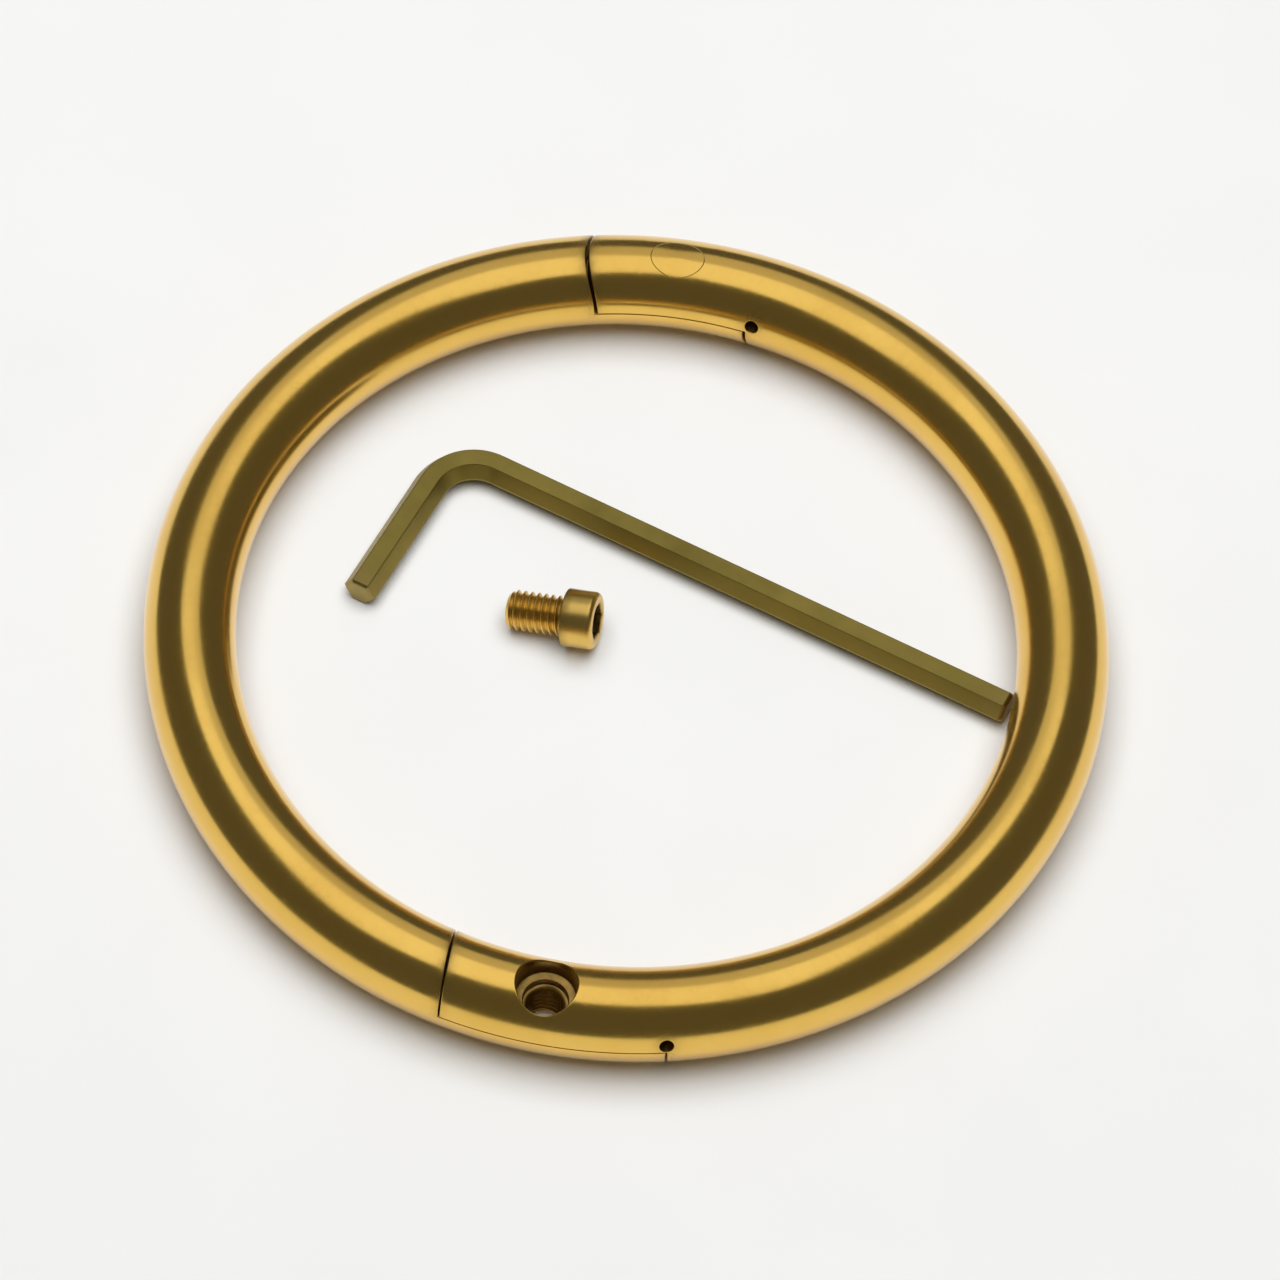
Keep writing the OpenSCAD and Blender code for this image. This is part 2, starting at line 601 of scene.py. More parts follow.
@dataclass
class RingHalf:
    """One half of the ring, built with its long, lapping side up.

    Attributes:
        name: The piece's name.
        flat: Height of the laps' flat.
        hole: Angle of the bore at the closing joint.
        long_off: Distance from that bore to the end of the long side.
        shoulder_off: Distance from that bore to the shoulder.
        bores: The two bores through the laps.
        dimples: The small blind holes.
        turned: True for the half that is turned over about the Y axis.
        bar: The bar and joints that it shares with the other half.
        arc_cells: Cells over the long side's section.
        low_cells: Cells round the short side's section.
        flat_cells: Cells across the laps' flats.
        step_deg: Spacing of the stations on the laps.
        body_step_deg: Spacing of the stations between the laps.
        knuckle_deg: Angle up to which those are counted.
        brink: Share of a lap between its end and the station next to it.
        crown_window: Half the cells that a bore replaces in the crown, along and across the bar.
        flat_window: Half the cells that a bore replaces in the flat, along and across the bar.
    """

    name: str
    flat: float
    hole: float
    long_off: float
    shoulder_off: float
    bores: tuple[Bore, ...]
    dimples: tuple[Dimple, ...]
    turned: bool
    bar: Bar = field(default_factory=Bar)
    arc_cells: int = 56
    low_cells: int = 64
    flat_cells: int = 28
    step_deg: float = 0.45
    body_step_deg: float = 0.6
    knuckle_deg: float = 78.0
    brink: float = 0.005
    crown_window: tuple[int, int] = (11, 16)
    flat_window: tuple[int, int] = (16, 11)

    def build(self) -> bpy.types.Object:
        """Weave the half's skin and make it an object.

        Returns:
            The finished half, at the origin.
        """
        self.skin = Skin()
        self.windows: dict[str, list[Window]] = {"upper": [], "flat": []}
        self._lay_stations()
        self._lay_upper()
        self._lay_lower()
        for bore in self.bores:
            self._cut_bore(bore)
        for dimple in self.dimples:
            self._cut_dimple(dimple)
        self._face_upper()
        matrix = Matrix.Identity(4)
        if self.turned:
            matrix = Matrix.Translation((0, 0, 2 * self.bar.bar)) @ Matrix.Rotation(math.pi, 4, "Y")
        # Painted shade spreads 0.35 mm from the seams, flats and holes.
        return self.skin.make(self.name, matrix, 0.35)

    def _lay_stations(self) -> None:
        """List the stations along the ring: (zone, fraction, offset from the end, inset)."""
        edge = self.bar.edge
        arc = [(edge * (1 - math.cos(a)), edge * (1 - math.sin(a))) for a in np.radians((0, 30, 60, 90))]
        bar = self.bar
        lap = int((self._shoulder(bar.ring) - self._long_end(bar.ring)) / self.step_deg)
        body = int((self.knuckle_deg - self._shoulder(bar.ring)) / self.body_step_deg)
        hinge = int(2 * bar.half_angle(bar.ring, bar.knuckle) / self.step_deg)
        rows = [("start", 0.0, off, inset) for off, inset in arc]
        rows += [("lap", k / lap, 0.0, 0.0) for k in range(1, lap)]
        rows += [("lap", 1 - self.brink, 0.0, 0.0)]
        rows += [("body", 0.0, off, inset) for off, inset in arc]
        rows += [("body", k / body, 0.0, 0.0) for k in range(1, body)]
        rows += [("body", 1.0, -off, inset) for off, inset in reversed(arc)]
        rows += [("hinge", self.brink, 0.0, 0.0)]
        rows += [("hinge", k / hinge, 0.0, 0.0) for k in range(1, hinge)]
        rows += [("end", 1.0, -off, inset) for off, inset in reversed(arc)]
        self.stations = rows
        self.body_rows = [k for k, row in enumerate(rows) if row[0] == "body"]

    def _long_end(self, rho: float) -> float:
        """Angle at which the long side ends at radius rho."""
        return self.hole - math.degrees(math.asin(self.long_off / rho))

    def _shoulder(self, rho: float) -> float:
        """Angle at which the shoulder stands at radius rho."""
        return self.hole + math.degrees(math.asin(self.shoulder_off / rho))

    def _theta(self, row: Station, rho: float) -> float:
        """Angle of a station for a line of radius rho.

        Args:
            row: The station.
            rho: The line's radius.

        Returns:
            The angle in degrees.
        """
        zone, part, off, _ = row
        bar = self.bar
        slack = math.degrees(bar.edge / bar.ring)
        turn = math.degrees(off / bar.ring)
        knee = 90 - bar.half_angle(rho, bar.knuckle + bar.knuckle_gap)
        tip = 90 + bar.half_angle(rho, bar.knuckle)
        if zone == "start":
            return self._long_end(rho) + turn
        if zone == "lap":
            first = self._long_end(rho) + slack
            return first + (self._shoulder(rho) - first) * part
        if zone == "body":
            return self._shoulder(rho) + (knee - self._shoulder(rho)) * part + turn
        if zone == "hinge":
            return knee + (tip - slack - knee) * part
        return tip + turn

    def _section(self, full: bool) -> list[tuple[float, float, float, float]]:
        """The upper side's section, from the outer to the inner split line.

        Args:
            full: True between the laps, where the section meets the short side's, and False on a lap.

        Returns:
            (radius, height, normal along the radius, normal upwards) for each line.
        """
        bar = self.bar
        low = math.asin((self.flat - bar.bar) / bar.bar)
        soft = bar.edge / bar.bar
        angles = [low + soft * k / 3 for k in range(3)]
        angles += list(np.linspace(low + soft, math.pi - low - soft, self.arc_cells + 1))
        angles += [math.pi - a for a in reversed(angles[:3])]
        out = []
        for k, angle in enumerate(angles):
            rho, z = bar.ring + bar.bar * math.cos(angle), bar.bar + bar.bar * math.sin(angle)
            normal = (math.cos(angle), math.sin(angle))
            side = 3 - min(k, len(angles) - 1 - k)
            if not full and side > 0:
                sign = 1 if k < 3 else -1
                part = 1 - side / 3
                corner = (bar.ring + sign * bar.bar * math.cos(low), self.flat)
                start = (corner[0] - sign * bar.edge, self.flat)
                over, up = bar.bar * math.cos(low + soft), bar.bar * math.sin(low + soft)
                stop = (bar.ring + sign * over, bar.bar + up)
                shares = ((1 - part) ** 2, 2 * part * (1 - part), part**2)
                rho, z = (sum(w * v for w, v in zip(shares, ends)) for ends in zip(start, corner, stop))
                normal = (sign * part, -(1 - part))
            out.append((rho, z, *normal))
        return out

    def _lay_upper(self) -> None:
        """Place the vertices of the long side, of the laps' flats and of the end faces."""
        bar, skin = self.bar, self.skin
        sections = {flag: self._section(flag) for flag in (True, False)}
        self.upper: list[list[int]] = []
        self.flats: dict[int, list[int]] = {}
        for k, row in enumerate(self.stations):
            full = row[0] == "body"
            inset = 0.0 if full else row[3]
            lines = []
            for rho, z, n_rho, n_z in sections[full]:
                r2, z2 = rho - inset * n_rho, z - inset * n_z
                lines.append(skin.add(bar.place(self._theta(row, r2), r2, z2)))
            self.upper.append(lines)
            if not full or k in (self.body_rows[0], self.body_rows[-1]):
                # The laps' flats, where the halves meet, get painted shade at 0.4.
                self.flats[k] = self._across(row, lines[0], lines[-1], 0.4)
        self._cap(0, self.upper[0], self.flats[0])
        last = len(self.stations) - 1
        self._cap(last, self.upper[last], self.flats[last])

    def _across(self, row: Station, first: int, last: int, shade_and_wear: float = 1.0) -> list[int]:
        """A row of vertices straight across the bar between two that lie at one height.

        Args:
            row: The station.
            first: The row's first vertex.
            last: The row's last vertex.
            shade_and_wear: Painted shade of the vertices between them.

        Returns:
            The row's vertices.
        """
        a, b = (self.skin.points[k] for k in (first, last))
        rho_a, rho_b = math.hypot(a[0], a[1]), math.hypot(b[0], b[1])
        middle = []
        for k in range(1, self.flat_cells):
            rho = rho_a + (rho_b - rho_a) * k / self.flat_cells
            middle.append(self.skin.add(self.bar.place(self._theta(row, rho), rho, a[2]), shade_and_wear))
        return [first, *middle, last]

    def _cap(self, station: int, lines: list[int], base: list[int]) -> None:
        """Close an end face with rows across it, from its flat edge to its far line.

        Args:
            station: The end's station.
            lines: The vertices round the end's curved side.
            base: Its flat edge.
        """
        row, skin = self.stations[station], self.skin
        half = (len(lines) - 1) // 2
        before = base
        for k in range(1, half):
            # The laps' end faces, between the halves, take full painted shade.
            now = self._across(row, lines[k], lines[len(lines) - 1 - k])
            skin.strip(before, now)
            before = now
        skin.fan(before, lines[half], closed=False)

    def _lay_lower(self) -> None:
        """Place and face the short side, with its two shoulders."""
        bar, skin = self.bar, self.skin
        low = math.asin((self.flat - bar.bar) / bar.bar)
        angles = np.linspace(math.pi - low, 2 * math.pi + low, self.low_cells + 1)
        before: list[int] | None = None
        for k in self.body_rows:
            row = self.stations[k]
            lines = []
            for m, angle in enumerate(angles):
                away = min(m, self.low_cells - m) / self.low_cells * 2 * math.pi * bar.bar
                inset = row[3] * min(away / 1.5, 1.0)
                rho = bar.ring + (bar.bar - inset) * math.cos(angle)
                z = bar.bar + (bar.bar - inset) * math.sin(angle)
                lines.append(skin.add(bar.place(self._theta(row, rho), rho, z)))
            if before:
                skin.strip(before, lines)
            if k in (self.body_rows[0], self.body_rows[-1]):
                self._cap(k, lines, list(reversed(self.flats[k])))
            before = lines

    def _face_upper(self) -> None:
        """Face the long side and the flats, leaving out the cells that holes replace."""
        skip = self.windows
        for k in range(len(self.stations) - 1):
            a, b = self.upper[k], self.upper[k + 1]
            for j in range(len(a) - 1):
                if not any(i0 <= k < i1 and j0 <= j < j1 for i0, i1, j0, j1 in skip["upper"]):
                    self.skin.faces.append((a[j], a[j + 1], b[j + 1], b[j]))
            if k in self.flats and k + 1 in self.flats:
                a, b = self.flats[k], self.flats[k + 1]
                for j in range(len(a) - 1):
                    if not any(i0 <= k < i1 and j0 <= j < j1 for i0, i1, j0, j1 in skip["flat"]):
                        self.skin.faces.append((a[j], a[j + 1], b[j + 1], b[j]))

    def _rim(self, rows: Callable[[int, int], int], window: Window) -> list[int]:
        """The vertices round a window, from its low outer corner and counter-clockwise from above.

        Args:
            rows: The vertex at a station and a line.
            window: The window's stations and lines.

        Returns:
            The vertices in order.
        """
        i0, i1, j0, j1 = window
        out = [rows(i, j0) for i in range(i0, i1)]
        out += [rows(i1, j) for j in range(j0, j1)]
        out += [rows(i, j1) for i in range(i1, i0, -1)]
        out += [rows(i0, j) for j in range(j1, j0, -1)]
        return out

    def _station_near(self, theta: float, rho: float) -> int:
        """The station whose angle at radius rho is nearest to theta."""
        return min(range(len(self.stations)), key=lambda k: abs(self._theta(self.stations[k], rho) - theta))

    def _cut_bore(self, bore: Bore) -> None:
        """Open a bore between the long side's crown and the flat below it.

        Args:
            bore: The bore.
        """
        bar, skin = self.bar, self.skin
        centre = bar.place(bore.theta, bar.ring, 0.0)
        middle = self._station_near(bore.theta, bar.ring)
        half = len(self.upper[0]) // 2
        across = self.flat_cells // 2
        along, aside = self.crown_window
        top = (middle - along, middle + along, half - aside, half + aside)
        along, aside = self.flat_window
        under = (middle - along, middle + along, across - aside, across + aside)
        self.windows["upper"].append(top)
        self.windows["flat"].append(under)
        rim = self._rim(lambda i, j: self.upper[i][j], top)
        offs = [(skin.points[k][0] - centre[0], skin.points[k][1] - centre[1]) for k in rim]
        turns = [math.atan2(y, x) for x, y in offs]
        outside = [self._mouth(bore, centre, turn) + bore.lip for turn in turns]

        def ring_at(radii: Sequence[float], heights: Sequence[float], shade_and_wear: float = 0.0) -> list[int]:
            """Add a ring of vertices about the bore's axis."""
            return [
                skin.add((centre[0] + r * math.cos(t), centre[1] + r * math.sin(t), z), shade_and_wear)
                for r, t, z in zip(radii, turns, heights)
            ]

        def on_crown(radii: Sequence[float]) -> list[float]:
            """Heights of the bar's upper surface round the bore's axis."""
            return [
                bar.crown(centre[0] + r * math.cos(t), centre[1] + r * math.sin(t))
                for r, t in zip(radii, turns)
            ]

        before = rim
        for part in (0.8, 0.6, 0.42, 0.27, 0.15, 0.06, 0.0):
            radii = [r + (math.hypot(*off) - r) * part for r, off in zip(outside, offs)]
            ring = ring_at(radii, on_crown(radii))
            skin.strip(before, ring, closed=True)
            before = ring
        crowns = on_crown(outside)
        for angle in np.radians((30, 60, 90)):
            drop = bore.lip * (1 - math.cos(angle))
            radii = [r - bore.lip * math.sin(angle) for r in outside]
            ring = ring_at(radii, [z - drop for z in crowns])
            skin.strip(before, ring, closed=True)
            before = ring
        # Each wall step darkens its ring by its painted shade.
        steps = [((radius,) * len(turns), z, shade_and_wear) for radius, z, shade_and_wear in bore.wall]
        if bore.thread:
            steps[-1:-1] = self._threaded(bore.thread, turns)
        for radii, z, shade_and_wear in steps:
            ring = ring_at(radii, [z] * len(turns), shade_and_wear)
            skin.strip(before, ring, closed=True)
            before = ring
        below = self._rim(lambda i, j: self.flats[i][j], under)
        inner = before
        # The floor round the bore's foot gets painted shade at 0.4.
        for part in (0.3, 0.65):
            ring = []
            for a, b in zip(inner, below):
                point = [p + (q - p) * part for p, q in zip(skin.points[a], skin.points[b])]
                ring.append(skin.add(point, 0.4))
            skin.strip(before, ring, closed=True)
            before = ring
        skin.strip(before, below, closed=True)

    def _threaded(self, thread: Thread, turns: Sequence[float]) -> list[tuple[list[float], float, float]]:
        """The rings of a threaded wall, from its top down.

        Args:
            thread: The thread.
            turns: The angles of its vertices, in radians.

        Returns:
            (radii, height, painted shade) for each ring.
        """
        rings = []
        for z in np.arange(thread.top, thread.bottom, -thread.pitch / thread.rows):
            fade = min(1.0, (z - thread.bottom) / thread.fade, (thread.top - z) / thread.fade)
            radii = [thread.radius + thread.depth * fade * helix(z, t, thread.pitch) for t in turns]
            # The thread's rings get painted shade at 0.8.
            rings.append((radii, float(z), 0.8))
        return rings

    def _mouth(self, bore: Bore, centre: Point, turn: float) -> float:
        """Radius at which the bore's first wall meets the crown, in one direction.

        Args:
            bore: The bore.
            centre: Its axis.
            turn: The direction, in radians.

        Returns:
            The radius.
        """
        radius = bore.mouth(2 * self.bar.bar)
        for _ in range(40):
            x, y = centre[0] + radius * math.cos(turn), centre[1] + radius * math.sin(turn)
            radius = 0.5 * radius + 0.5 * bore.mouth(self.bar.crown(x, y))
        return radius

    def _cut_dimple(self, dimple: Dimple) -> None:
        """Sink a small blind hole in the bar's side.

        Args:
            dimple: The hole.
        """
        bar, skin = self.bar, self.skin
        sign = 1 if dimple.outer else -1
        side = bar.ring + sign * bar.bar
        reach = math.degrees(dimple.spread / side)
        i0 = self._station_near(dimple.theta - reach, side)
        i1 = self._station_near(dimple.theta + reach, side)
        last = len(self.upper[0]) - 1
        window = (i0, i1, 2, 10) if dimple.outer else (i0, i1, last - 10, last - 2)
        self.windows["upper"].append(window)
        rim = self._rim(lambda i, j: self.upper[i][j], window)
        turn = math.radians(dimple.theta)
        out_x, out_y = math.cos(turn), math.sin(turn)

        def surface(u: float, v: float, sink: float = 0.0) -> Point:
            """A point of the bar's side.

            Args:
                u: Its distance along the bar from the hole's axis.
                v: Its height above the hole's axis.
                sink: Its depth below the bar's surface.

            Returns:
                The point.
            """
            rise = dimple.height + v - bar.bar
            rho = bar.ring + sign * math.sqrt(bar.bar**2 - rise**2)
            w = math.sqrt(rho**2 - u**2) - sign * sink
            return (w * out_x - u * out_y, w * out_y + u * out_x, dimple.height + v)

        flats = [(-x * out_y + y * out_x, z - dimple.height) for x, y, z in (skin.points[k] for k in rim)]
        turns = [math.atan2(v, u) for u, v in flats]
        edge = dimple.edge
        before = rim
        for part in (0.7, 0.4, 0.18, 0.0):
            ring = []
            for (fu, fv), angle in zip(flats, turns):
                u, v = (dimple.radius + edge) * math.cos(angle), (dimple.radius + edge) * math.sin(angle)
                ring.append(skin.add(surface(u + (fu - u) * part, v + (fv - v) * part)))
            skin.strip(before, ring, closed=True)
            before = ring
        # The dimple's wall from 0.5 mm down, and its bottom, get full painted shade.
        steps = ((edge * 0.3, edge * 0.3), (0.0, edge), (0.0, 0.5))
        for spare, sink in steps:
            radius = dimple.radius + spare
            points = [surface(radius * math.cos(a), radius * math.sin(a), sink) for a in turns]
            ring = [skin.add(point, float(sink >= 0.5)) for point in points]
            skin.strip(before, ring, closed=True)
            before = ring
        for part, depth in ((1.0, dimple.depth), (0.0, dimple.depth + 0.3)):
            base = side - sign * depth
            radius = dimple.radius * part
            points = [
                (
                    base * out_x - radius * math.cos(a) * out_y,
                    base * out_y + radius * math.cos(a) * out_x,
                    dimple.height + radius * math.sin(a),
                )
                for a in turns
            ]
            if part:
                ring = [skin.add(point, 1.0) for point in points]
                skin.strip(before, ring, closed=True)
                before = ring
            else:
                skin.fan(before, skin.add(points[0], 1.0))


@dataclass
class HingeRivet:
    """The flush rivet of the hinge, with countersunk ends that follow the bar's surface.

    Attributes:
        bar: The bar that it goes through.
        shank: Radius of its shank.
        sink: Depth of its countersunk ends.
        around: Vertices round it.
    """

    bar: Bar = field(default_factory=Bar)
    shank: float = 1.5
    sink: float = 1.2
    around: int = 96

    def build(self) -> bpy.types.Object:
        """Build the rivet's skin.

        Returns:
            The finished rivet, at the origin.
        """
        skin = Skin()
        height = 2 * self.bar.bar
        turns = [2 * math.pi * k / self.around for k in range(self.around)]
        reach = [self._reach(turn) for turn in turns]
        top = self._face(skin, turns, reach, False)
        bottom = self._face(skin, turns, reach, True)
        before = top
        for z in (height - self.sink, height / 2, self.sink):
            ring = [
                skin.add((self.shank * math.cos(t), self.bar.ring + self.shank * math.sin(t), z))
                for t in turns
            ]
            skin.strip(before, ring, closed=True)
            before = ring
        skin.strip(before, bottom, closed=True)
        return skin.make("flush_hinge_rivet", Matrix.Identity(4), 0.12)

    def _reach(self, turn: float) -> float:
        """Radius at which the countersunk cone meets the crown, in one direction.

        Args:
            turn: The direction, in radians.

        Returns:
            The radius.
        """
        radius = self.shank + self.sink
        for _ in range(40):
            x, y = radius * math.cos(turn), self.bar.ring + radius * math.sin(turn)
            radius = 0.5 * radius + 0.5 * (self.shank + self.bar.crown(x, y) - 2 * self.bar.bar + self.sink)
        return radius

    def _face(self, skin: Skin, turns: list[float], reach: list[float], under: bool) -> list[int]:
        """One end face, from its middle out, and its edge ring.

        Args:
            skin: The skin that it is added to.
            turns: The angles of its vertices, in radians.
            reach: Its outline in those directions.
            under: True for the lower end.

        Returns:
            The edge ring's vertices.
        """
        height = 2 * self.bar.bar

        def lift(x: float, y: float) -> Point:
            """A point of the bar's upper or lower surface, from its place about the rivet's axis."""
            z = self.bar.crown(x, self.bar.ring + y)
            return (x, self.bar.ring + y, height - z if under else z)

        tip = skin.add(lift(0.0, 0.0))
        before: list[int] = []
        for part in (0.15, 0.4, 0.65, 0.85, 0.97, 1.0):
            ring = [
                skin.add(lift(part * r * math.cos(t), part * r * math.sin(t)))
                for t, r in zip(turns, reach)
            ]
            if before:
                skin.strip(before, ring, closed=True)
            else:
                skin.fan(ring, tip)
            before = ring
        return before


# ---------------------------------------------------------------- the loose screw


@dataclass
class ClosingScrew:
    """The loose closing screw: a turned cap head with a hex socket and a right-hand thread.

    Attributes:
        head_radius: Radius of the head.
        head_height: Height of the head.
        head_round: Rounding of the head's upper edge.
        shank: Length below the head.
        thread_radius: Radius at the thread's crest.
        tip_bevel: Bevel round the tip.
        pitch: The thread's pitch.
        thread_depth: How far its root lies behind its crest.
        thread_fade: Length over which the thread fades in and out.
        rows_per_pitch: Rings of vertices for each pitch.
        socket_flats: Width across the socket's flats.
        socket_depth: Depth of the socket.
        socket_mouth: Radius of the socket's chamfered mouth.
        place: The point under its head, in plan.
        direction_deg: Direction from its head to its tip, in plan.
        around: Vertices round it.
    """

    head_radius: float = 2.85
    head_height: float = 3.2
    head_round: float = 0.5
    shank: float = 5.75
    thread_radius: float = 2.0
    tip_bevel: float = 0.5
    pitch: float = 0.7
    thread_depth: float = 0.36
    thread_fade: float = 0.5
    rows_per_pitch: int = 12
    socket_flats: float = 3.06
    socket_depth: float = 1.9
    socket_mouth: float = 1.86
    place: tuple[float, float] = (-6.24, 2.44)
    direction_deg: float = 172.6
    around: int = 96

    def build(self) -> bpy.types.Object:
        """Build the screw's skin, head up its own negative axis, and lay it down.

        Returns:
            The finished screw, at the origin.
        """
        skin = Skin()
        turns = [2 * math.pi * k / self.around for k in range(self.around)]
        before: list[int] = []
        for radius, z, shade_and_wear in (*self._socket(), *self._head()):
            before = self._ring(skin, turns, before, [radius(t) for t in turns], z, shade_and_wear)
        rows = int(self.shank / self.pitch * self.rows_per_pitch)
        for k in range(rows + 1):
            z = self.shank * k / rows
            radii = [self._thread(z, t) for t in turns]
            before = self._ring(skin, turns, before, radii, z, 0.0)
        for part in (0.7, 0.35):
            radii = [(self.thread_radius - self.tip_bevel) * part] * self.around
            before = self._ring(skin, turns, before, radii, self.shank, 0.0)
        skin.fan(before, skin.add((0, 0, self.shank)))
        # Painted shade spreads 0.25 mm from the socket and from under the head.
        return skin.make("hex_socket_closing_screw", self._lying(), 0.25)

    def _ring(
        self, skin: Skin, turns: list[float], before: list[int], radii: list[float], z: float, shade_and_wear: float
    ) -> list[int]:
        """Add one ring and join it to the one before, or close the first one with its middle.

        Args:
            skin: The skin that it is added to.
            turns: The angles of its vertices, in radians.
            before: The ring before it, empty for the first.
            radii: Its radii.
            z: Its height.
            shade_and_wear: Its painted shade.

        Returns:
            The ring's vertices.
        """
        ring = [skin.add((r * math.cos(t), r * math.sin(t), z), shade_and_wear) for r, t in zip(radii, turns)]
        if before:
            skin.strip(before, ring, closed=True)
        else:
            skin.fan(ring, skin.add((0, 0, z + 0.35), shade_and_wear))
        return ring

    def _socket(self) -> list[tuple[Callable[[float], float], float, float]]:
        """Rings of the hex socket, from its floor to its chamfered mouth.

        Returns:
            (radius in a direction, height, painted shade) for each ring.
        """
        top = -self.head_height
        floor = top + self.socket_depth
        # The socket's walls and floor take full painted shade, less at its chamfered mouth.
        return [
            (lambda t: self._hexagon(t, 0.0), floor, 1.0),
            (lambda t: self._hexagon(t, 0.0), floor - 0.2, 1.0),
            (lambda t: self._hexagon(t, 0.0), top + 0.16, 1.0),
            (lambda t: self._hexagon(t, 0.03), top + 0.1, 0.4),
            (lambda t: max(self._hexagon(t, 0.06), self.socket_mouth), top, 0.0),
        ]

    def _hexagon(self, turn: float, spare: float) -> float:
        """Radius of the socket's outline in one direction."""
        off = (turn + math.pi / 6) % (math.pi / 3) - math.pi / 6
        return (self.socket_flats / 2 + spare) / math.cos(math.pi / 6 - abs(off))

    def _head(self) -> list[tuple[Callable[[float], float], float, float]]:
        """Rings of the head's outside, from its top to its underside.

        Returns:
            (radius in a direction, height, painted shade) for each ring.
        """
        top, r = -self.head_height, self.head_radius
        rings = [(2.0, top, 0.0), (r - self.head_round - 0.02, top, 0.0)]
        for angle in np.radians((0, 15, 30, 45, 60, 75, 90)):
            inward, down = self.head_round * (1 - math.sin(angle)), self.head_round * (1 - math.cos(angle))
            rings.append((r - inward, top + down, 0.0))
        rings += [(r, top + 1.2, 0.0), (r, top + 2.2, 0.0), (r, -0.12, 0.0)]
        # Painted shade gathers where the head's underside meets the shank.
        rings += [(r - 0.035, -0.035, 0.3), (r - 0.12, 0.0, 0.8), (self.thread_radius, 0.0, 1.0)]
        return [((lambda t, radius=radius: radius), z, shade_and_wear) for radius, z, shade_and_wear in rings]

    def _thread(self, z: float, turn: float) -> float:
        """Radius of the threaded shank at a height and an angle.

        Args:
            z: The height below the head.
            turn: The angle, in radians.

        Returns:
            The radius.
        """
        fade = min(1.0, z / self.thread_fade, (self.shank - z) / self.thread_fade)
        crest = self.thread_radius - self.thread_depth * max(fade, 0.0) * (1 - helix(z, turn, self.pitch))
        bevel = max(z - (self.shank - self.tip_bevel), 0.0)
        return min(crest, self.thread_radius - bevel)

    def _lying(self) -> Matrix:
        """The screw's place: on its head's rim and its thread's end.

        Returns:
            The turn and shift from its own axis, in millimetres.
        """
        spread = self.head_radius - self.thread_radius
        tilt = math.atan(spread / (self.shank - self.tip_bevel))
        height = self.head_radius * math.cos(tilt)
        turn = Matrix.Rotation(math.radians(self.direction_deg), 4, "Z")
        return Matrix.Translation((*self.place, height)) @ turn @ Matrix.Rotation(math.pi / 2 + tilt, 4, "Y")


# ---------------------------------------------------------------- the hex key


